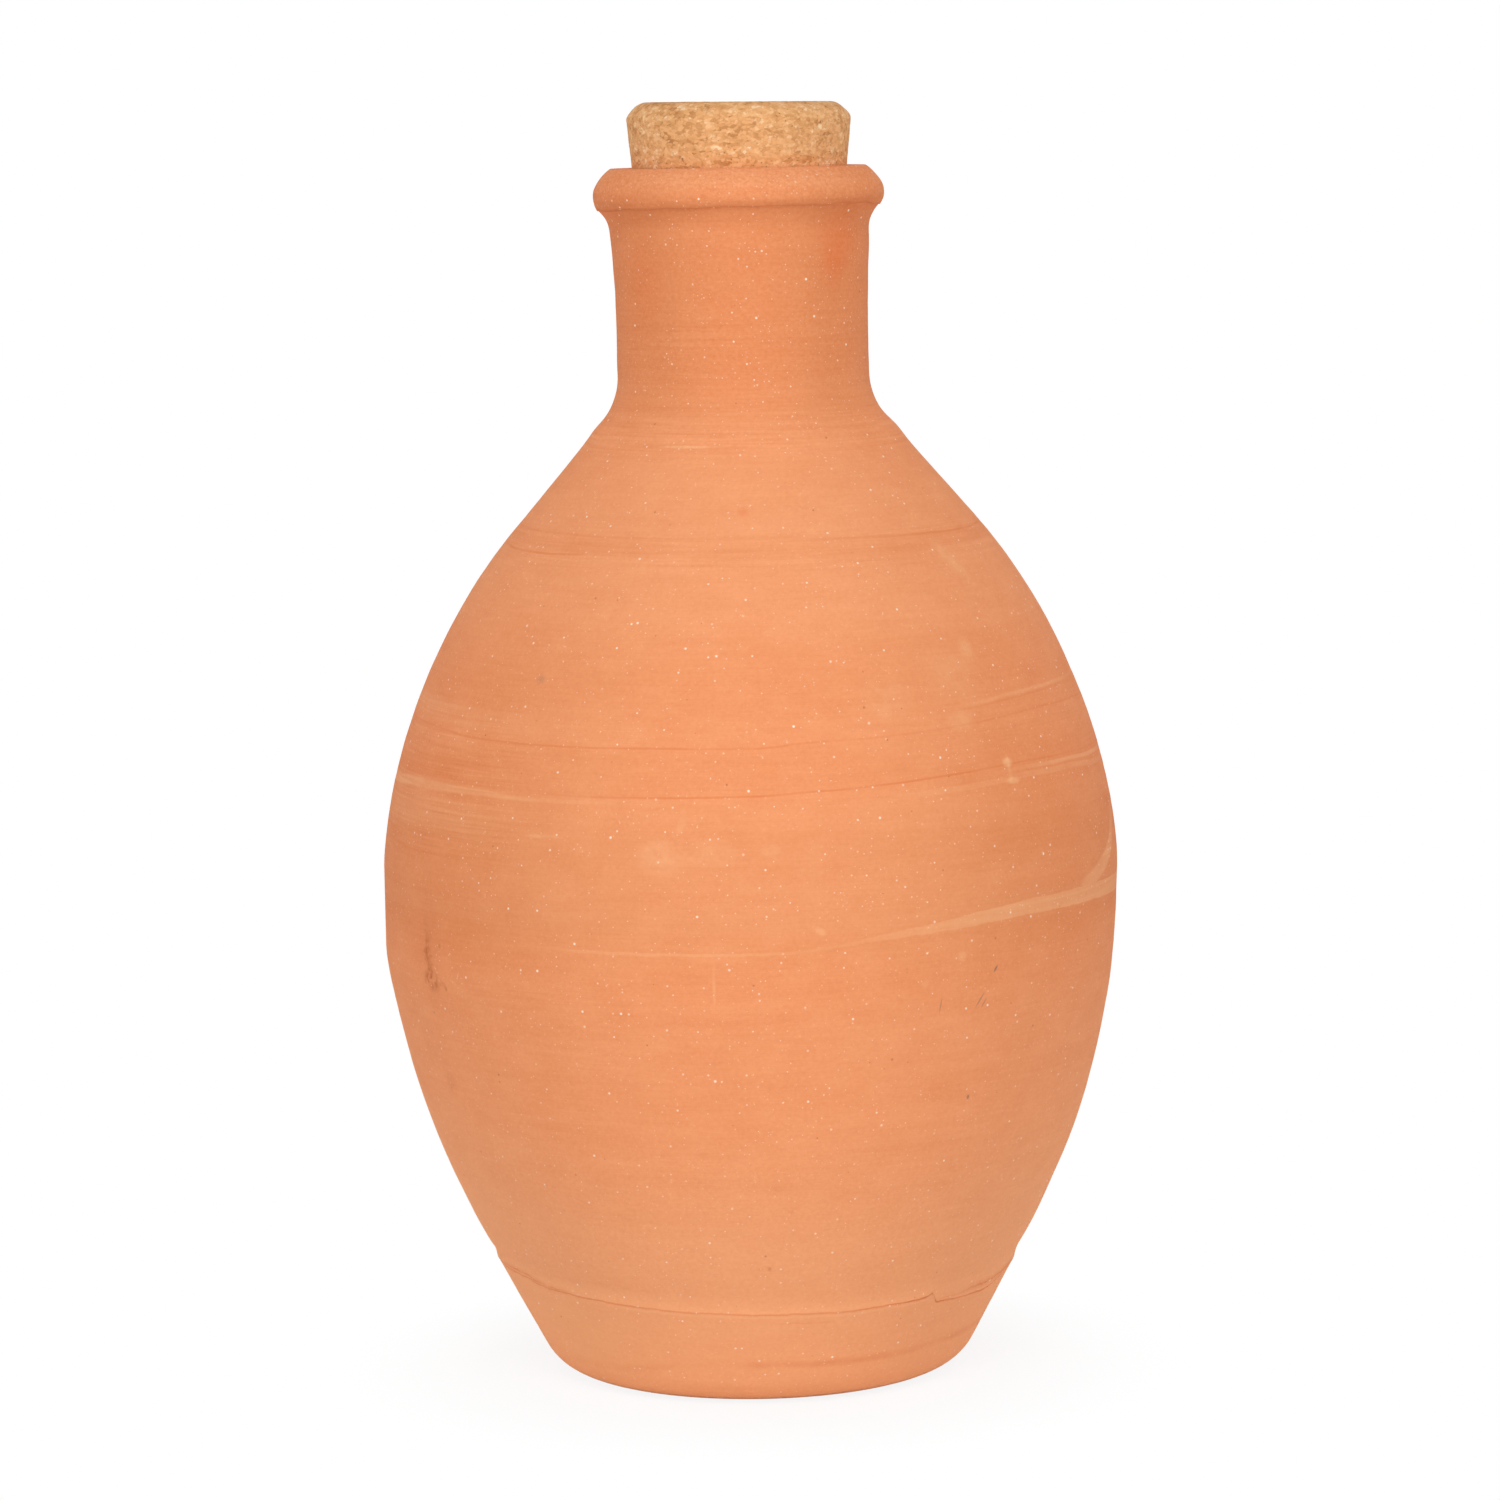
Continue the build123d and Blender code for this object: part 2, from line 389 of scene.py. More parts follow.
# What the hands and the wheel left on the turned clay. Lengths and heights are in mm, and a band
# is the heights where it starts, is full, begins to fade and ends.
ridged_shoulder = (196, 206, 212, 226)
ridged_waist = (132, 140, 168, 178)
pressed_belly = (34, 48, 84, 104)
worked_wall = (1.0, 5.0, 283, 286.5)
neck_rise = (228, 244)  # where the shoulder becomes the neck
fine_ridge_depth = 0.035
shoulder_ridge_depth = 0.05
waist_ridge_depth = 0.035
broad_ridge_depth = 0.05
neck_ridge_depth = 0.05
wave_depth = 0.12
belly_press = 0.42
body_fullness = 0.13  # how much fuller the body is than the neck
flare_press = 0.10  # the groove under the flare of the lip
flare_press_height = 283.6
flare_press_reach = 3.0
root_ring = 0.42  # the raised ring where the neck was joined on
root_ring_height = 233.0
root_ring_reach = 2.6
seam_fold = (25.6, 25.85, 26.5, 32)  # the edge of clay that hangs over the seam
seam_reach = (0.8, 9.0)  # how far above and below the seam its wander carries the clay
foot_end = (36, 40)  # above this the seam's wander no longer moves the wall in and out
crease_reach = 1.9
lip_roll_reach = 2.6
lip_roll_drop = 0.25
lip_roll_tilt = 0.15  # how much more it drops on the right, and less on the left
lip_wear_band = (292, 295.5)
lip_wear = 0.35
rim_band = (294, 296.2)
skin_depth = 1.6  # a point further than this under the turned outside is part of the inside
ground_height = 0.02  # a point lower than this is on the foot's ring
inner_lean_end = (250, 272)  # the bore stays upright above this, for the cork
inside = -1.0  # what laid_height says of a point that isn't on the outside


def wheel_noise(angle, height, rise, drift=0.8, seed=0):
    """Smooth noise in rings: it changes fast with height and slowly round the jar."""
    around = math.radians(angle)
    across = math.cos(around) * drift + seed
    return noise.noise(Vector((across, math.sin(around) * drift, height / rise)))


def ring_noise(angle, drift, seed):
    """Smooth noise round the jar, the same at every height."""
    return wheel_noise(angle, 0, 1, drift, seed)


def throwing_ridges(angle, height):
    """How far the potter's fingers pressed the wall in."""
    fine_depth = fine_ridge_depth + shoulder_ridge_depth * faded(height, *ridged_shoulder)
    fine_depth += waist_ridge_depth * faded(height, *ridged_waist)
    neck = eased(height, *neck_rise)
    broad_depth = broad_ridge_depth + neck_ridge_depth * neck
    ridges = fine_depth * (0.5 + wheel_noise(angle, height, 2.6, seed=3))
    ridges += broad_depth * (0.5 + wheel_noise(angle, height, 6.5, seed=11))
    ridges += wave_depth * (0.5 + wheel_noise(angle, height, 22, drift=1.3, seed=29))
    ridges += belly_press * faded(height, *pressed_belly) - body_fullness * (1 - neck)
    groove = flare_press * swell(height, flare_press_height, flare_press_reach)
    return ridges * faded(height, *worked_wall) + groove


def seam_shift(angle, height):
    """How far the seam's rise and fall carries the clay near it upwards."""
    wander = 0.22 * ring_noise(angle, 12, seed=5) + 0.16 * ring_noise(angle, 34, seed=8)
    shift = between(seam_path, angle) - seam_height / mm + wander
    return shift * (1 - eased(abs(height - seam_height / mm - 0.3), *seam_reach))


def lift(angle, height):
    """How far the clay lies above where it was turned."""
    to_the_right = math.sin(math.radians(angle))
    crease = between(crease_rise, angle) + 0.6 * ring_noise(angle, 4, seed=21)
    roll = lip_roll_drop + lip_roll_tilt * to_the_right
    roll *= swell(height, (rim_height - lip_bevel_height) / mm, lip_roll_reach)
    lifted = seam_shift(angle, height) + crease * swell(height, crease_height / mm, crease_reach)
    return lifted - roll * (1 - eased(height, *rim_band))


def press(angle, height, tear):
    """How far the clay lies inside the outline that was turned."""
    to_the_right = math.sin(math.radians(angle))
    from_the_seam = abs(height - (seam_height + seam_gap / 2) / mm)
    closed_seam = (1 - eased(from_the_seam, 0.05, 0.3)) * (1 - tear * 0.7)
    closed_fold = faded(height, *seam_fold) * (1 - tear)
    ring = root_ring * (0.9 + 0.6 * ring_noise(angle, 1.5, seed=17))
    ring *= swell(height, root_ring_height, root_ring_reach)
    pressed = throwing_ridges(angle, height) - ring
    pressed += eased(height, *lip_wear_band) * lip_wear * (1 + to_the_right)
    pressed -= closed_seam * (seam_cut + seam_overhang / 2) / mm
    return pressed + closed_fold * seam_overhang / 2 / mm


def work_the_jar(jar, outside):
    """The marks of the hands and the wheel on the turned clay."""
    laid_height = jar.data.attributes.new("laid_height", "FLOAT", "POINT")
    torn = jar.data.attributes.new("torn", "FLOAT", "POINT")
    ring_edge = foot_radius - foot_rounding
    wall_points = [point for point in outside if point.y > foot_hollow or point.x > ring_edge]
    profile = sorted((point.y / mm, point.x) for point in wall_points)
    for index, vertex in enumerate(jar.data.vertices):
        work_the_wall(vertex, profile, laid_height.data[index], torn.data[index])
    jar.data.update()


def profile_radius(profile, height):
    """The outside's radius at a height in mm."""
    low, high = 0, len(profile) - 1
    while high - low > 1:
        middle = (low + high) // 2
        low, high = (middle, high) if profile[middle][0] <= height else (low, middle)
    (first, near), (second, far) = profile[low], profile[high]
    share = min(1, max(0, (height - first) / max(second - first, 1e-9)))
    return near + (far - near) * share


def work_the_wall(vertex, profile, laid_height, torn):
    """One point of the jar: pressed, torn and leaned as the photograph shows."""
    x, y, z = vertex.co
    radius = math.hypot(x, y)
    if radius < mm / 10:
        vertex.co = (0, 0, z)
        laid_height.value = inside
        return
    angle = math.degrees(math.atan2(x, -y))
    height = z / mm
    lean = between(lean_by_height, height) * mm
    if radius < profile_radius(profile, height) - skin_depth * mm or height < ground_height:
        laid_height.value = inside
        vertex.co = (x + lean * (1 - eased(height, *inner_lean_end)), y, z)
        return
    laid_height.value = height
    torn.value = between(seam_tears, angle)
    lifted = lift(angle, height)
    radius += lifted * seam_slope_share * mm * (1 - eased(height, *foot_end))
    radius -= press(angle, height, torn.value) * mm
    x = radius * math.sin(math.radians(angle)) + lean
    y = -radius * math.cos(math.radians(angle))
    over = max(1, math.hypot(x, y) / belly_radius)
    vertex.co = (x / over, y / over, min(rim_height, max(0, z + lifted * mm)))


def make_jar():
    """The jar, with its outside, its mouth and the hollow inside as one wall of clay."""
    pen = Outline((0, foot_hollow))
    draw_foot(pen)
    draw_seam_and_belly(pen)
    draw_neck(pen)
    draw_lip(pen)
    outside = list(pen.points)
    draw_cavity(pen)
    jar = turn_on_the_wheel("jar_clay", pen.points)
    work_the_jar(jar, outside)
    return jar


def cork_outline():
    """Half of the cork: its bevelled foot, its tapered side and its bevelled top."""
    side_top = Vector((cork_high.x, cork_high.z - cork_bevel_height))
    foot_radius_of_cork = cork_high.x - (side_top.y - cork_low.z) * cork_taper_share
    foot = Vector((foot_radius_of_cork, cork_low.z))
    up_the_side = (side_top - foot).normalized()
    top = Vector((side_top.x - cork_bevel_width, cork_high.z))
    pen = Outline((0, cork_low.z))
    pen.line(foot - outwards * cork_foot_bevel, "cork's foot")
    pen.line(foot + up_the_side * cork_foot_bevel, "cork's foot bevel")
    pen.line(side_top + upwards * cork_edge_rise, "cork's side")
    pen.bulge(top, cork_bevel_bulge, "cork's side")
    pen.line((0, cork_high.z), "cork's top")
    return pen.points


def softened(points, passes):
    """The same outline with its corners worn round."""
    for _ in range(passes):
        between_ends = zip(points, points[1:], points[2:])
        middle = [before.lerp(after, 0.5).lerp(point, 0.5) for before, point, after in between_ends]
        points = [points[0], *middle, points[-1]]
    return points


def work_the_cork(cork):
    """Pits between the pressed granules, and a face that is not quite even."""
    normals = [vertex.normal.copy() for vertex in cork.data.vertices]
    middle = (rim_height + cork_high.z) / 2
    for vertex, normal in zip(cork.data.vertices, normals):
        place = vertex.co.copy()
        flake = Vector([side / size for side, size in zip(place, cork_flake)])
        near, far = noise.voronoi(flake)[0][:2]
        groove = 1 - eased(far - near, 0.02, 0.22)
        lumps = max(0, 0.5 + noise.noise(place / cork_lump_size))
        pits = eased(noise.noise(place / cork_pit_size + Vector((40, 0, 0))), 0.42, 0.62)
        depth = cork_groove_depth * groove + cork_lump_depth * lumps + cork_pit_depth * pits
        vertex.co -= normal * depth
        sunk = cork_top_drop + place.x * cork_top_tilt_share
        vertex.co.z -= sunk * eased(place.z, middle, cork_high.z)
    cork.data.update()


def make_cork():
    """The cork, turned from its outline and pitted."""
    cork = turn_on_the_wheel("cork", softened(cork_outline(), cork_softening))
    work_the_cork(cork)
    return cork


class Wire:
    """A socket of a node tree, which sums and products read as a value."""

    def __init__(self, nodes, socket):
        self.nodes = nodes
        self.socket = socket

    def __add__(self, other):
        return self.nodes.sum("ADD", self, other)

    def __radd__(self, other):
        return self.nodes.sum("ADD", other, self)

    def __sub__(self, other):
        return self.nodes.sum("SUBTRACT", self, other)

    def __rsub__(self, other):
        return self.nodes.sum("SUBTRACT", other, self)

    def __mul__(self, other):
        return self.nodes.sum("MULTIPLY", self, other)

    def __truediv__(self, other):
        return self.nodes.sum("DIVIDE", self, other)

    def __abs__(self):
        return self.nodes.sum("ABSOLUTE", self, 0)

    def beside(self, output):
        """Another output of the same node."""
        return Wire(self.nodes, self.socket.node.outputs[output])


class Nodes:
    """A node tree, built up node by node."""

    def __init__(self, tree):
        self.tree = tree
        self.tree.nodes.clear()

    def add(self, kind, settings=None, inputs=None, output=0):
        """Any node: its settings first, then its sockets' values or links."""
        node = self.tree.nodes.new(kind)
        for name, value in (settings or {}).items():
            if name == "knots":
                self.set_knots(node.mapping, value)
            elif name == "stops":
                self.set_stops(node.color_ramp.elements, value)
            else:
                setattr(node, name, value)
        for name, value in (inputs or {}).items():
            if isinstance(value, Wire):
                self.tree.links.new(value.socket, node.inputs[name])
            else:
                node.inputs[name].default_value = value
        return Wire(self, node.outputs[output]) if node.outputs else None

    def set_knots(self, mapping, knots):
        points = mapping.curves[0].points
        while len(points) < len(knots):
            points.new(0.5, 0.5)
        for point, place in zip(points, knots):
            point.location = place
            point.handle_type = "AUTO_CLAMPED"
        mapping.extend = "HORIZONTAL"
        mapping.update()

    def set_stops(self, elements, stops):
        while len(elements) < len(stops):
            elements.new(0.5)
        for element, (place, colour) in zip(elements, stops):
            element.position = place
            element.color = (*colour, 1)

    def sum(self, operation, first, second):
        is_vector = any(isinstance(side, tuple) or self.is_vector(side) for side in (first, second))
        kind = "ShaderNodeVectorMath" if is_vector else "ShaderNodeMath"
        return self.add(kind, {"operation": operation}, {0: first, 1: second})

    def is_vector(self, side):
        return isinstance(side, Wire) and side.socket.type == "VECTOR"

    def most(self, first, second):
        return self.sum("MAXIMUM", first, second)

    def step(self, value, low, high):
        """0 at the low value, 1 at the high one, and smooth in between."""
        reach = {"Value": value, "From Min": low, "From Max": high}
        return self.add("ShaderNodeMapRange", {"interpolation_type": "SMOOTHSTEP"}, reach)

    def within(self, value, low, high, soft):
        """1 between two values, fading out over a soft edge on either side."""
        return self.step(value, low - soft, low) * self.step(value, high + soft, high)

    def mix(self, share, first, second):
        """A colour between two others."""
        inputs = {0: share, 6: self.colour(first), 7: self.colour(second)}
        return self.add("ShaderNodeMix", {"data_type": "RGBA"}, inputs, output=2)

    def colour(self, value):
        return value if isinstance(value, Wire) else (*value, 1)


class Finish(Nodes):
    """A piece's material, whose marks are placed on the piece where it is modelled."""

    def __init__(self, name):
        self.material = bpy.data.materials.new(name)
        self.material.use_nodes = True
        super().__init__(self.material.node_tree)
        self.place = self.add("ShaderNodeTexCoord", output="Object")
        self.x = self.add("ShaderNodeSeparateXYZ", inputs={"Vector": self.place})
        self.y, self.z = self.x.beside("Y"), self.x.beside("Z")

    def noise(self, stretch, detail=2.0, roughness=0.5, shift=(0, 0, 0)):
        """Noise from about -1 to 1, on the place stretched by cycles a metre each way."""
        inputs = {"Vector": self.place * stretch + shift, "Scale": 1.0}
        inputs.update({"Detail": detail, "Roughness": roughness})
        return (self.add("ShaderNodeTexNoise", inputs=inputs) - 0.5) * 2

    def bump(self, height):
        """A surface normal from a height in mm."""
        return self.add("ShaderNodeBump", inputs={"Distance": mm, "Height": height})

    def wear(self, piece, colour, roughness, height):
        """Finish the material, with its relief from a height in mm, and lay it on the piece."""
        surface = {"Base Color": colour, "Roughness": roughness, "Normal": self.bump(height)}
        surface["Specular IOR Level"] = gloss
        shader = self.add("ShaderNodeBsdfPrincipled", inputs=surface)
        self.add("ShaderNodeOutputMaterial", inputs={"Surface": shader})
        piece.data.materials.clear()
        piece.data.materials.append(self.material)


class Clay(Finish):
    """Fired clay, with marks placed by their angle and height on the jar's outside."""

    def __init__(self, name):
        super().__init__(name)
        self.height = self.add("ShaderNodeAttribute", {"attribute_name": "laid_height"}, output="Fac")
        self.torn = self.add("ShaderNodeAttribute", {"attribute_name": "torn"}, output="Fac")
        self.angle = self.sum("ARCTAN2", self.x, self.y * -1) * math.degrees(1)
        level = {0: self.place * (1, 1, 0)}
        self.off_axis = self.add("ShaderNodeVectorMath", {"operation": "LENGTH"}, level, "Value")

    def curve(self, value, span, knots):
        """A value that follows knots of (place, value) over a span of places."""
        low = min(level for _, level in knots)
        reach = max(max(level for _, level in knots) - low, 0.001)
        length = span[1] - span[0]
        places = [((place - span[0]) / length, (level - low) / reach) for place, level in knots]
        share = (value - span[0]) / length
        return self.add("ShaderNodeFloatCurve", {"knots": places}, {"Value": share}) * reach + low

    def along(self, knots):
        """A value that follows knots of (angle, value) round the jar."""
        return self.curve(self.angle, (-180, 180), knots)

    def above(self, path):
        """How far above a path round the jar the surface is, in mm."""
        return self.height - self.along([knot[:2] for knot in path])

    def strength(self, path):
        """How strong the mark on a path is at each angle."""
        return self.along([(knot[0], knot[2]) for knot in path])

    def line(self, gap, width, soft):
        """A band of a width, in mm, round the middle of a gap."""
        half = width / 2
        return self.step(abs(gap), half + soft, half - soft * 0.2)

    def mark(self, path, ragged, width, soft):
        """A line along a path, made ragged by some noise and as strong as the path says."""
        return self.line(self.above(path) + ragged, width, soft) * self.strength(path)

    def blot(self, angle, height, width, length, tilt, soft):
        """A smudge at a place on the outside: its width goes round, before the tilt."""
        across = (self.angle - angle) * self.off_axis * (math.radians(1) / mm)
        up = self.height - height
        cos, sin = math.cos(math.radians(tilt)), math.sin(math.radians(tilt))
        side = (across * cos + up * sin) * (2 / width)
        end = (up * cos - across * sin) * (2 / length)
        reach = self.sum("SQRT", side * side + end * end, 0)
        return self.step(reach, 1 + soft, 1 - soft)

    def blots(self, marks):
        """All the smudges of a list, each as strong as the last of its values says."""
        smudges = [self.blot(*mark[:-1]) * mark[-1] for mark in marks]
        return sum(smudges[1:], smudges[0])


gloss = 0.02  # how much of plain gloss the clay and the cork have

# The lines that the rib and the fingers left, as (angle, height in mm, strength)
upper_line = [
    (-180, 164.0, 0.3), (-120, 163.6, 0.2), (-78, 164.5, 0.45), (-64, 164.1, 0.5), (-54, 163.3, 0.6),
    (-32, 162.9, 0.75), (-18, 163.1, 0.7), (-2, 163.1, 0.7), (8, 163.9, 0.5), (25, 164.8, 0.3),
    (41, 166.0, 0.45), (51, 166.9, 0.5), (64, 167.5, 0.5), (81, 167.1, 0.35), (110, 164.8, 0.2),
    (150, 164.1, 0.4), (180, 164.0, 0.3),
]
lower_line = [
    (-180, 152.0, 0.3), (-120, 152.2, 0.2), (-79, 153.1, 0.08), (-63, 153.6, 0.14), (-53, 152.9, 0.2),
    (-43, 152.2, 0.2), (-31, 151.9, 0.4), (-5, 152.2, 0.8), (8, 152.9, 0.9), (21, 153.8, 0.8),
    (36, 155.0, 0.8), (45, 155.6, 0.7), (56, 155.8, 0.6), (70, 155.7, 0.4), (115, 153.9, 0.3),
    (150, 152.6, 0.3), (180, 152.0, 0.3),
]
shoulder_line = [
    (-180, 209.6, 0.1), (-95, 210.3, 0.2), (-74, 210.3, 0.35), (-42, 210.0, 0.3), (-8, 209.8, 0.12),
    (8, 209.5, 0.1), (27, 209.2, 0.3), (48, 209.0, 0.5), (66, 209.0, 0.6), (79, 209.4, 0.5),
    (110, 209.6, 0.1), (180, 209.6, 0.1),
]
left_shoulder_line = [
    (-90, 206.4, 0), (-76, 206.0, 0.6), (-57, 205.5, 0.7), (-45, 205.7, 0.6), (-40, 205.9, 0),
]
right_twin_line = [(34, 168.9, 0), (43, 169.7, 0.4), (53, 170.5, 0.5), (66, 171.2, 0.35), (80, 171.4, 0)]

# Slip dragged round the belly, as (angle, height in mm, strength), with its width in mm
slip_band = [
    (-60, 116.8, 0), (-40, 116.6, 0), (-32, 116.4, 0.15), (-19, 116.0, 0.45), (0, 116.0, 0.55),
    (10, 116.9, 0.35), (20, 118.8, 0.55), (31, 120.3, 0.8), (40, 121.5, 1.0), (52, 122.1, 1.0),
    (64, 122.0, 1.0), (74, 121.5, 0.9), (90, 121.0, 0.6), (110, 121.0, 0.2), (124, 121.5, 0),
]
slip_band_width = [
    (-60, 0.4), (10, 0.5), (20, 1.1), (31, 2.3), (40, 3.0), (64, 3.7), (90, 3.9), (124, 3.0),
]
slip_fork = [
    (60, 122.8, 0), (65, 125.1, 0.8), (70, 127.4, 0.9), (74, 129.7, 1), (77, 132.5, 0.8),
    (79, 135.5, 0.6), (82, 139, 0.3), (86, 143, 0),
]
slip_fork_width = 3.4
left_streak = [
    (-100, 149.8, 0), (-86, 149.8, 0.8), (-76, 150.1, 1), (-62, 151.1, 1), (-53, 151.1, 0.9),
    (-43, 150.7, 0.85), (-35, 150.5, 0.65), (-26, 150.7, 0.4), (-6, 150.8, 0),
]
left_streak_width = [(-100, 1.8), (-70, 1.6), (-50, 1.1), (-36, 0.6), (0, 0.5)]
right_streak = [
    (42, 154.0, 0), (47, 154.3, 0.4), (56, 154.5, 0.7), (69, 154.2, 0.9), (79, 154.0, 0.8),
    (96, 153.8, 0),
]
right_lower_streak = [
    (20, 150.8, 0), (29, 151.2, 0.35), (43, 152.2, 0.5), (55, 152.8, 0.5), (74, 151.8, 0.4),
    (88, 151.5, 0),
]
right_upper_streak = [
    (38, 170.1, 0), (44, 170.6, 0.5), (53, 171.5, 0.7), (76, 172.3, 0.5), (90, 172.4, 0),
]

# Strands of the torn seam beside the main one, as (angle, height above it in mm, strength)
seam_strand = [
    (-180, 0.9, 0.3), (-110, 1.0, 0.5), (-76, 0.6, 0.5), (-66, 1.0, 0.9), (-56, 0.7, 1.0),
    (-46, 0.5, 0.5), (-36, 0.3, 0), (39, 0.5, 0), (45, 0.8, 0.7), (52, 1.2, 0.9), (60, 1.8, 1.0),
    (68, 1.2, 1.0), (80, 0.8, 0.9), (180, 0.9, 0.3),
]

# A smear round the foot, as (angle, height in mm, strength)
foot_smear = [
    (-70, 7.4, 0), (-52, 7.5, 0.2), (-34, 8.4, 0.25), (-18, 10.6, 0.1), (-4, 11.2, 0.2), (2, 11.2, 0.6),
    (16, 10.9, 0.5), (31, 11.0, 0.5), (46, 11.5, 0.3), (64, 12.1, 0.6), (76, 12.3, 0.3), (95, 12.0, 0),
]

# Smudges on the outside, each an (angle, height, width, length, tilt, softness, strength), in
# degrees and mm
slip_smudges = [
    (-13.5, 138.4, 9, 6.5, 0, 0.8, 0.75), (-6.3, 139.2, 10, 5, 0, 0.8, 0.6),
    (-10.5, 146.4, 1.8, 6, -10, 0.5, 0.5), (3, 140, 4, 3, 0, 0.5, 0.5),
    (51.8, 202.3, 4, 9, 28, 0.8, 0.8), (43.5, 183.2, 4, 5, 0, 0.5, 0.7),
    (39.5, 176.5, 13, 11, 0, 0.9, 0.4), (45.5, 156.2, 3, 2, 0, 0.5, 1.0),
    (45.9, 151.9, 4.5, 1.4, 0, 0.5, 1.0), (45.6, 154.5, 1.2, 6, 0, 0.8, 0.4),
    (-33, 142.3, 9, 1.0, 0, 0.5, 0.6), (24.5, 172.7, 12, 9, 0, 0.5, 0.4),
    (37.4, 166.9, 7, 5, 0, 0.5, 0.4), (33, 112.5, 2.2, 2.2, 0, 0.5, 0.5),
    (26.5, 107.0, 2.0, 2.0, 0, 0.5, 0.4), (10, 121, 3, 1.5, -30, 0.5, 0.6),
]
pale_scratches = [(-20.5, 230.4, 0.6, 13, 90, 0.5, 0.9), (-5.8, 109, 0.7, 9, 0, 0.5, 0.35)]
ragged_stains = [(-58.3, 104.6, 6, 4.0, 0, 0.8, 1.6), (-55.2, 104.4, 2.2, 1.8, 0, 0.7, 1.4)]
soft_stains = [
    (-54.4, 103.2, 1.0, 1.2, 0, 0.5, 0.8), (-55.5, 113.4, 0.9, 1.2, 0, 0.5, 0.6),
    (-58.5, 112, 9, 18, 0, 0.9, 0.26), (-59.2, 79.6, 5, 4, 0, 0.5, 0.2),
]
foot_stains = [(0.8, 37.7, 2.6, 0.8, 12, 0.5, 0.9), (2.2, 37.4, 0.9, 1.1, 0, 0.5, 0.9)]
grey_scratches = [
    (-39.4, 177.7, 2.4, 1.9, 0, 0.8, 0.35), (29.4, 101.4, 0.35, 3.2, -8, 0.5, 0.6),
    (36.7, 101.5, 0.4, 3.6, -36, 0.5, 0.8), (37.5, 100.6, 0.3, 2.4, -36, 0.5, 0.7),
    (39.5, 108.5, 0.5, 1.7, -34, 0.5, 1.2), (36.4, 77.8, 0.7, 1.0, 0, 0.5, 1.0),
]
red_flashes = [
    (50, 279.5, 13, 11, 0, 0.95, 0.31), (46, 272.5, 7, 8, 0, 0.95, 0.28),
    (-49, 269.5, 10, 15, 0, 0.95, 0.16), (-0.6, 215.5, 2.4, 1.8, 0, 0.9, 0.3),
]

# Where the rib combed fine rings into the clay, as (low, high, softness in mm, strength)
combed_bands = [(204, 210, 2.5, 0.8), (232, 262, 8, 1.0), (275, 286, 10, 0.5)]

# How much paler or deeper the clay is, by height in mm
tone_by_height = [
    (0, 0.19), (8, 0.07), (40, 0.03), (70, -0.01), (88, -0.03), (104, -0.09), (116, -0.11),
    (128, -0.05), (140, -0.11), (148, -0.02), (158, -0.09), (167, -0.04), (176, -0.09), (188, 0.0),
    (200, 0.06), (207, 0.06), (212, 0.10), (222, 0.06), (231, 0.04), (240, 0.04), (250, -0.04),
    (270, -0.05), (284, -0.06), (290, -0.09), (293.5, -0.02), (300, -0.02),
]

# Painted light and shade towards the sides: how much paler or deeper it is made there, by height in mm
painted_flank_light_by_height = [
    (0, 0.06), (22, 0.20), (60, 0.16), (84, 0.05), (104, 0.0), (126, -0.20), (146, -0.22),
    (160, -0.12), (190, -0.07), (225, -0.06), (243, -0.06), (262, -0.16), (288, -0.18),
    (294, -0.10), (300, -0.10),
]

# The clay's colours
deep_clay = (0.735, 0.218, 0.076)
pale_clay = (0.985, 0.444, 0.220)
neck_clay = (0.715, 0.240, 0.093)
foot_clay = (0.860, 0.430, 0.215)
foot_tan = (0.930, 0.490, 0.225)
belly_clay = (0.560, 0.290, 0.128)
line_brown = (0.740, 0.185, 0.055)
# the painted shadow in the torn seam, and the smear round the foot
seam_shadow_and_smear_brown = (0.680, 0.165, 0.048)
# the slip's cream, also used for the painted highlight under the seam
slip_and_highlight_cream = (0.930, 0.500, 0.255)
sand_cream = (0.980, 0.800, 0.640)
soot_grey = (0.230, 0.160, 0.130)
# the dark pits, also used for the painted shade in the crease under the lip
pit_and_crease_shade_brown = (0.400, 0.120, 0.045)
stain_brown = (0.500, 0.130, 0.040)
fire_red = (0.800, 0.130, 0.024)


def wheel_marks(clay, colour):
    """The dark lines round the belly and the pale slip that was dragged beside them."""
    waver = clay.noise((60, 60, 60), 3, shift=(3, 0, 0)) * 0.3
    broken = 0.55 + clay.step(clay.noise((120, 120, 400), 3, shift=(0, 7, 0)), -0.3, 0.3) * 0.45
    streaky = clay.step(clay.noise((16, 16, 1500), 3, 0.65, shift=(5, 5, 0)), -0.4, 0.35)
    patchy = clay.step(clay.noise((60, 60, 160), 3, shift=(1, 9, 0)), -0.5, 0.3)
    upper, lower = clay.above(upper_line), clay.above(lower_line)
    dark = 0
    for path in (upper_line, lower_line, shoulder_line, left_shoulder_line, right_twin_line):
        dark = clay.most(clay.mark(path, waver, 0.3, 0.2), dark)
    soft = clay.line(upper + waver, 0.8, 0.8) * clay.within(clay.angle, -90, -48, 14)
    soft = soft + clay.line(lower + waver, 1.0, 0.9) * clay.within(clay.angle, -90, -56, 14)
    pale = clay.mark(left_streak, waver, clay.along(left_streak_width), 0.7) * (0.55 + streaky * 0.45)
    for path, width in ((right_streak, 0.6), (right_lower_streak, 1.0), (right_upper_streak, 0.4)):
        pale = pale + clay.mark(path, waver, width, 0.4)
    pale = pale * (0.5 + patchy * 0.5)
    wide = clay.line(upper - 4.2, 2.6, 1.6) * clay.within(clay.angle, -92, -56, 24)
    wide = wide + clay.line(lower + 9.0, 5.0, 4.0) * clay.within(clay.angle, -92, -52, 22)
    colour = clay.mix(wide * streaky * 0.22, colour, slip_and_highlight_cream)
    colour = clay.mix(pale * 0.40, colour, slip_and_highlight_cream)
    shade = clay.line(clay.above(shoulder_line) + 1.6 + waver, 2.2, 2.0) * (0.4 + streaky * 0.6)
    colour = clay.mix(soft * 0.08 + shade * 0.10, colour, line_brown)
    return clay.mix(dark * broken * 0.62, colour, line_brown)


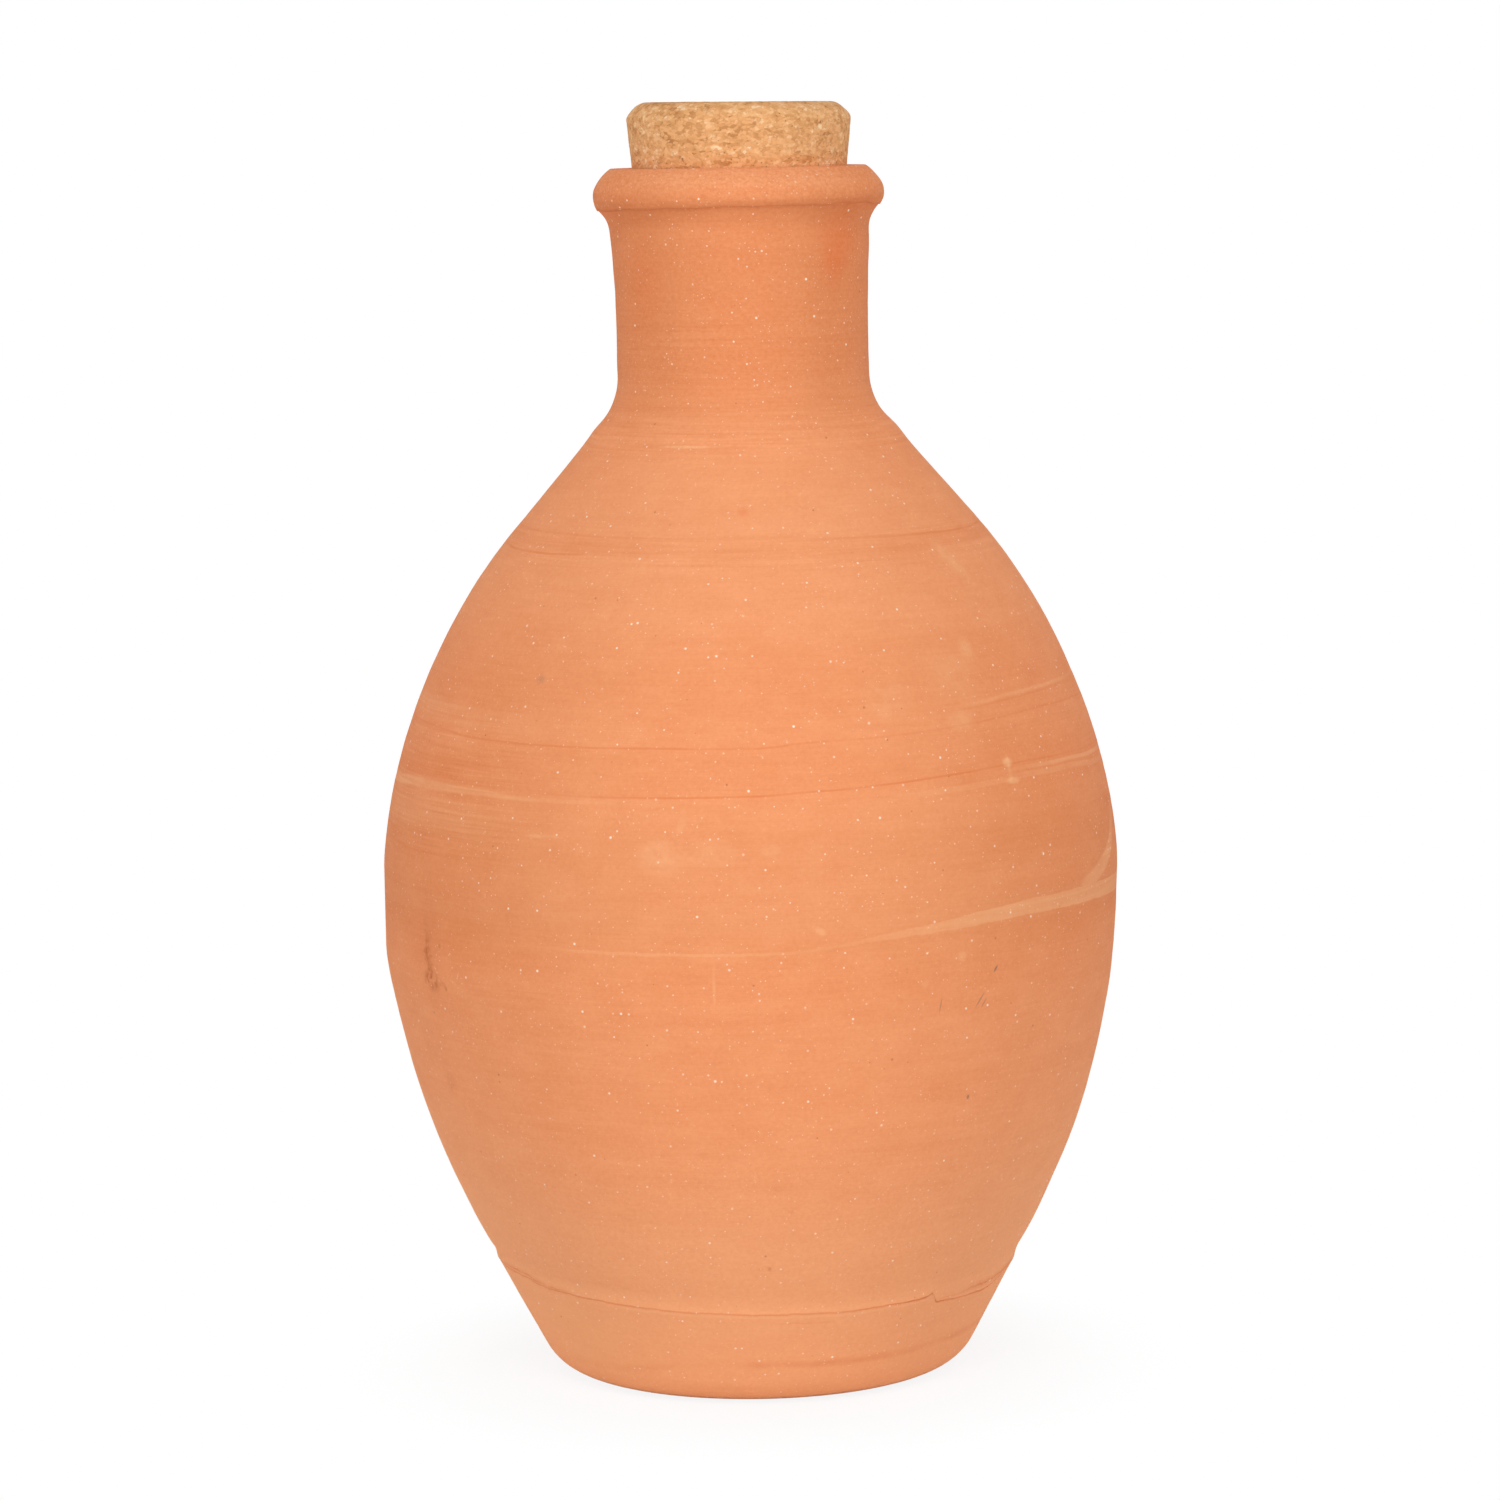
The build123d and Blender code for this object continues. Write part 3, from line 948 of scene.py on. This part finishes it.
def slip_marks(clay, colour):
    """The pale band of slip that rises to the right, and smudges of slip near it."""
    rough = clay.noise((260, 260, 260), 3, shift=(1, 2, 3))
    slip = clay.mark(slip_band, rough * 0.35, clay.along(slip_band_width), 0.35)
    slip = clay.most(slip, clay.mark(slip_fork, rough * 0.3, slip_fork_width, 1.0) * 0.9)
    cloudy = clay.noise((120, 120, 190), 5, 0.7, shift=(4, 2, 3))
    cloudy = 0.25 + clay.step(cloudy, -0.35, 0.3) * 0.75
    smudges = clay.blots(slip_smudges) * cloudy
    dragged = clay.step(clay.noise((14, 14, 900), 3, 0.65, shift=(8, 3, 0)), -0.5, 0.35)
    slip = slip * (0.28 + dragged * 0.16 + rough * 0.10) + smudges * 0.64
    return clay.mix(slip, colour, slip_and_highlight_cream)


def scratches(clay, colour):
    """Small smudges, scratches and stains, each where the photograph shows it."""
    rough = clay.step(clay.noise((600, 600, 350), 4, 0.7, shift=(9, 1, 4)), -0.3, 0.25)
    ragged = clay.step(clay.noise((330, 330, 260), 4, 0.7, shift=(3, 1, 8)), -0.35, 0.25)
    sway = clay.noise((0, 0, 300), 3, shift=(2, 3, 0)) * 2.4
    pale = clay.blots(pale_scratches) * (0.4 + rough * 0.6)
    colour = clay.mix(pale * 0.75, colour, slip_and_highlight_cream)
    streak = clay.blot(sway - 59.0, 110.8, 3.0, 13, 2, 0.7) * 1.2
    brown = (streak + clay.blots(ragged_stains)) * ragged
    brown = brown + clay.blots(soft_stains) + clay.blots(foot_stains) * rough
    colour = clay.mix(brown * 0.5, colour, stain_brown)
    colour = clay.mix(clay.blots(grey_scratches) * 0.62, colour, soot_grey)
    return clay.mix(clay.blots(red_flashes) * 0.75, colour, fire_red)


def sand_grains(clay, scale, size, spread, share):
    """Grains of one size, scattered through the clay: how bright each is, and the pits."""
    grains = {"Vector": clay.place, "Scale": scale}
    near = clay.add("ShaderNodeTexVoronoi", inputs=grains, output="Distance")
    chance = clay.add("ShaderNodeSeparateColor", inputs={"Color": near.beside("Color")})
    size = size + chance.beside(2) * chance.beside(2) * chance.beside(2) * spread
    shape = clay.step(near / size, 1.3, 0.6)
    clump = clay.noise((70, 70, 70), 2, shift=(7, 7, 0)) * 0.45
    clump = clump + clay.step(clay.z, 200 * mm, 240 * mm) * 0.14
    shine = 0.4 + chance.beside(1) * chance.beside(2) * 0.8
    bright = shape * clay.step(chance + clump, 0.98 - share, 1.02 - share) * shine
    return bright, shape * clay.step(chance, 0.04, 0.03)


def sand_specks(clay, colour):
    """Cream grains of sand in the clay, large and fine, and a few dark pits."""
    bright, dark = sand_grains(clay, 560.0, 0.085, 0.10, 0.44)
    fine, _ = sand_grains(clay, 900.0, 0.115, 0.04, 0.50)
    bright = clay.most(bright, fine * 0.8)
    colour = clay.mix(bright * 0.85, colour, sand_cream)
    return clay.mix(dark * 0.5, colour, pit_and_crease_shade_brown), bright, dark


def seam_marks(clay, colour):
    """Painted shade in the torn seam and the lip's crease, a painted highlight, and a smear."""
    seam_middle = (seam_height + seam_gap / 2) / mm
    seam = clay.height - seam_middle
    ragged = clay.noise((420, 420, 60), 4, 0.65, shift=(2, 8, 0))
    patchy = clay.step(clay.noise((90, 90, 90), 3, shift=(6, 6, 6)), -0.35, 0.35)
    whole = 1 - clay.within(clay.angle, 41.5, 42.4, 0.4)
    # Painted shadow in the torn seam, in the strands torn beside it and in a line under it
    shadow = clay.line(seam + ragged * (0.14 + clay.torn * 0.45), 0.3, 0.2)
    shadow = shadow * (0.5 + clay.torn * patchy * 0.4) * whole
    strand = clay.above(seam_strand) - seam_middle + ragged * 0.45
    strand = clay.most(clay.line(strand, 0.28, 0.25), clay.line(strand, 1.1, 0.8) * 0.35)
    strand = strand * clay.strength(seam_strand)
    shadow = clay.most(shadow, strand * (0.3 + patchy * 0.7))
    under = clay.line(seam + 2.6 + ragged * 0.4, 0.15, 0.3) * clay.within(clay.angle, 3, 15, 3)
    shadow = clay.most(shadow, under * patchy * 0.6)
    smear = clay.mark(foot_smear, ragged * 0.6, 0.8, 1.2) * 0.9
    shadow = clay.most(shadow, smear * (0.3 + patchy * 0.7))
    # Painted shade in the crease under the lip, patchy and darker towards the left
    crease = clay.height - crease_height / mm + ragged * 0.1
    dented = clay.step(clay.noise((75, 75, 20), 3, shift=(4, 6, 6)), -0.15, 0.45)
    deeper = clay.step(clay.angle, 30, -60)
    fold = clay.line(crease - 0.1, 0.4, 0.25) * (0.15 + dented * 0.35 + deeper * 0.45)
    fold = clay.most(fold, clay.line(crease - 1.1, 0.9, 0.9) * dented * deeper * 0.4)
    # Painted highlight: a pale line along the lower edge of the seam
    lit = clay.line(seam + 0.75 + ragged * 0.2, 0.3, 0.3) * clay.within(clay.angle, -30, 36, 10)
    colour = clay.mix(lit * 0.3, colour, slip_and_highlight_cream)
    colour = clay.mix(fold * 0.3, colour, pit_and_crease_shade_brown)
    return clay.mix(shadow * 0.62, colour, seam_shadow_and_smear_brown)


def terracotta(jar):
    """Unglazed fired clay: orange, matt, ringed by the wheel and speckled with sand."""
    clay = Clay("terracotta")
    foot = clay.step(clay.height, 78, 26) * clay.step(clay.height, -0.5, 0)
    neck = clay.step(clay.z, 228 * mm, 250 * mm)
    left = clay.within(clay.angle, -100, -50, 24)
    combed = clay.within(clay.height, 136, 163, 4) * left * 0.9 + foot * 0.3
    for low, high, soft, strength in combed_bands:
        combed = combed + clay.within(clay.height, low, high, soft) * strength
    combed = clay.noise((30, 30, 1250), 3, 0.6, shift=(6, 2, 0)) * combed
    streaks = clay.noise((75, 75, 2300), 3, 0.65)
    rings = clay.noise((17, 17, 480), 3, 0.6, shift=(4, 0, 0))
    bands = clay.noise((5, 5, 60), 2, shift=(0, 4, 0))
    mottle = clay.noise((90, 90, 150), 4, 0.65)
    grain = clay.noise((1050, 1050, 1250), 4, 0.8)
    tone = 0.5 + streaks * 0.10 + combed * 0.30 + rings * 0.08 + bands * 0.06 + mottle * 0.17
    tone = tone + grain * (0.26 + neck * 0.5 + foot * 0.30)
    tone = tone + clay.curve(clay.height, (0, 300), tone_by_height)
    # Painted light and shade: towards the sides the clay is made paler low down and deeper above it
    painted_flank_share = clay.step(abs(clay.angle), 24, 60)
    tone = tone + clay.curve(clay.height, (0, 300), painted_flank_light_by_height) * painted_flank_share
    colour = clay.mix(tone, deep_clay, pale_clay)
    colour = clay.mix(clay.within(clay.z, 240 * mm, 286 * mm, 8 * mm) * 0.5, colour, neck_clay)
    colour = clay.mix(clay.within(clay.height, 124, 138, 18) * 0.09, colour, belly_clay)
    colour = clay.mix(foot * 0.5, colour, foot_clay)
    tan = clay.blot(-48, 17, 34, 18, 0, 0.9) * (0.6 + mottle * 0.4)
    colour = clay.mix(tan * 0.42, colour, foot_tan)
    colour = wheel_marks(clay, colour)
    colour = slip_marks(clay, colour)
    colour = scratches(clay, colour)
    colour = seam_marks(clay, colour)
    colour, bright, dark = sand_specks(clay, colour)
    height = grain * 0.012 + streaks * 0.006 + combed * 0.02 + rings * 0.02 + bright * 0.03 - dark * 0.06
    clay.wear(jar, colour, 0.72 + grain * 0.06 - streaks * 0.05, height)


# The cork's tans, from its darkest granules to its palest, and the colours of its gaps
cork_tans = [
    (0.0, (0.540, 0.235, 0.085)), (0.25, (0.725, 0.360, 0.145)), (0.5, (0.835, 0.430, 0.185)),
    (0.75, (0.890, 0.510, 0.245)), (1.0, (0.970, 0.715, 0.445)),
]
cork_crack = (0.460, 0.195, 0.070)
cork_crumb = (0.480, 0.210, 0.075)
cork_pit = (0.200, 0.085, 0.035)
cork_green = (0.400, 0.330, 0.170)


def granules(cork, place):
    """One size of pressed granules: their shades, and the gaps between them."""
    cells = {"Vector": place, "Scale": 1.0}
    shade = cork.add("ShaderNodeTexVoronoi", inputs=cells, output="Color")
    gap = cork.add("ShaderNodeTexVoronoi", {"feature": "DISTANCE_TO_EDGE"}, cells)
    return cork.add("ShaderNodeSeparateColor", inputs={"Color": shade}), gap


def pressed_cork(cork_piece):
    """Granules of cork pressed together: flat flakes of several tans, with dark gaps."""
    cork = Finish("cork")
    warp = cork.add("ShaderNodeTexNoise", inputs={"Vector": cork.place, "Scale": 900.0, "Detail": 3.0})
    warp = warp.beside("Color") * (0.9, 0.9, 0.9)
    flake, gap = granules(cork, cork.place * (330, 330, 640) + warp)
    crumb, fine_gap = granules(cork, cork.place * (950, 950, 1400) + warp)
    streaks = cork.noise((900, 900, 3600), 3, 0.6)
    patches = cork.noise((120, 120, 120), 2, shift=(8, 0, 0))
    near_rim = cork.step(cork.z, rim_height + 6 * mm, rim_height)
    tone = flake * 0.42 + crumb * 0.56 + streaks * 0.10 + patches * 0.14 + near_rim * 0.05
    colour = cork.add("ShaderNodeValToRGB", {"stops": cork_tans}, {"Fac": tone})
    crack = cork.step(gap, 0.09, 0.02) * cork.step(cork.noise((420, 420, 420)), -0.1, 0.5)
    crumbled = cork.step(fine_gap, 0.12, 0.02)
    crumbled = crumbled * cork.step(cork.noise((600, 600, 600), shift=(5, 5, 5)), -0.1, 0.4)
    pit = cork.noise((1300, 1300, 1700), 2, shift=(2, 2, 2)) + near_rim * 0.10
    pit = cork.step(pit, 0.36, 0.48)
    green = cork.step(cork.noise((170, 170, 170), 2, shift=(3, 9, 1)), 0.40, 0.55)
    colour = cork.mix(crack * 0.5, colour, cork_crack)
    colour = cork.mix(crumbled * 0.45, colour, cork_crumb)
    colour = cork.mix(green * 0.35, colour, cork_green)
    colour = cork.mix(pit * 0.7, colour, cork_pit)
    height = flake * 0.02 + crumb * 0.02 - crack * 0.03 - crumbled * 0.02 - pit * 0.08
    cork.wear(cork_piece, colour, 0.78 + streaks * 0.06, height)


# The floor, in metres from the jar's axis
floor_size = 30
paper = (0.95, 0.95, 0.95)
far_paper = (0.4, 0.4, 0.4)
paper_end = (0.9, 1.8)  # the floor darkens between these, to throw less light at the jar
shadow_end = (0.11, 0.05)  # the jar's shadow fades out between these
shadow_share = 0.12  # how much of the floor's own light and shadow shows


def make_floor():
    """A plain white floor that runs out of sight and keeps the jar's shadow."""
    bpy.ops.object.select_all(action="DESELECT")
    bpy.ops.mesh.primitive_plane_add(size=floor_size, location=(0, 0, 0))
    ground = bpy.context.object
    ground.name = "floor"
    floor = Finish("floor")
    seen = floor.add("ShaderNodeLightPath", output="Is Camera Ray")
    seen = floor.most(seen, seen.beside("Is Glossy Ray"))
    away = floor.add("ShaderNodeVectorMath", {"operation": "LENGTH"}, {0: floor.place}, "Value")
    colour = floor.mix(floor.step(away, *paper_end), paper, far_paper)
    lit = floor.add("ShaderNodeBsdfDiffuse", inputs={"Color": colour})
    white = floor.add("ShaderNodeEmission", inputs={"Color": (1, 1, 1, 1), "Strength": 1.0})
    share = seen * (1 - floor.step(away, *shadow_end) * shadow_share)
    surface = floor.add("ShaderNodeMixShader", inputs={0: share, 1: lit, 2: white})
    floor.add("ShaderNodeOutputMaterial", inputs={"Surface": surface})
    ground.data.materials.append(floor.material)


sky_light = 0.25  # how much of plain white the sky lights the jar with

# Soft square lamps, as (name, place, aim, size, power): metres and watts
lamps = [
    ("front_low", (0, -2.2, 0.32), (0, 0, 0.12), 0.6, 12.3),
    ("front_high", (0, -1.5, 1.6), (0, 0, 0.15), 0.9, 21.6),
    ("back_left", (-1.5, 1.15, 0.33), (0, 0, 0.10), 0.6, 13.0),
    ("back_right", (1.5, 1.15, 0.33), (0, 0, 0.10), 0.6, 13.0),
]


def light_the_world():
    """White behind the jar for the eye and for gloss, and a plain soft light on it."""
    world = bpy.data.worlds.new("studio")
    bpy.context.scene.world = world
    world.use_nodes = True
    sky = Nodes(world.node_tree)
    seen = sky.add("ShaderNodeLightPath", output="Is Camera Ray")
    seen = sky.most(seen, seen.beside("Is Glossy Ray"))
    level = {"Color": (1, 1, 1, 1), "Strength": sky_light + seen * (1 - sky_light)}
    sky.add("ShaderNodeOutputWorld", inputs={"Surface": sky.add("ShaderNodeBackground", inputs=level)})


def hang_lamp(name, place, aim, size, power):
    """A soft square lamp that faces the point that it is aimed at."""
    bpy.ops.object.light_add(type="AREA", location=place)
    lamp = bpy.context.object
    lamp.name = name
    lamp.rotation_euler = (Vector(aim) - Vector(place)).to_track_quat("-Z", "Y").to_euler()
    lamp.data.size = size
    lamp.data.energy = power


# The photograph's view: level with the neck, a little down, with the jar leaning left
camera_place = (0.00016, -1.3432, 0.3089)
camera_lens = 131.5
camera_pitch = math.radians(90 - 6.612)
camera_roll = math.radians(-0.98)


def set_camera():
    """The camera of the photograph's view."""
    bpy.ops.object.camera_add(location=camera_place)
    camera = bpy.context.object
    camera.name = "camera"
    camera.data.lens = camera_lens
    view = Euler((camera_pitch, 0, 0)).to_matrix() @ Matrix.Rotation(camera_roll, 3, "Z")
    camera.rotation_euler = view.to_euler()
    bpy.context.scene.camera = camera


jar = make_jar()
terracotta(jar)
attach(jar, "jar")
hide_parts("jar")

cork = make_cork()
pressed_cork(cork)
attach(cork, "stopper")
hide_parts("cork_stopper")

make_floor()
light_the_world()
for lamp in lamps:
    hang_lamp(*lamp)
set_camera()
bpy.context.scene.view_settings.view_transform = "Standard"
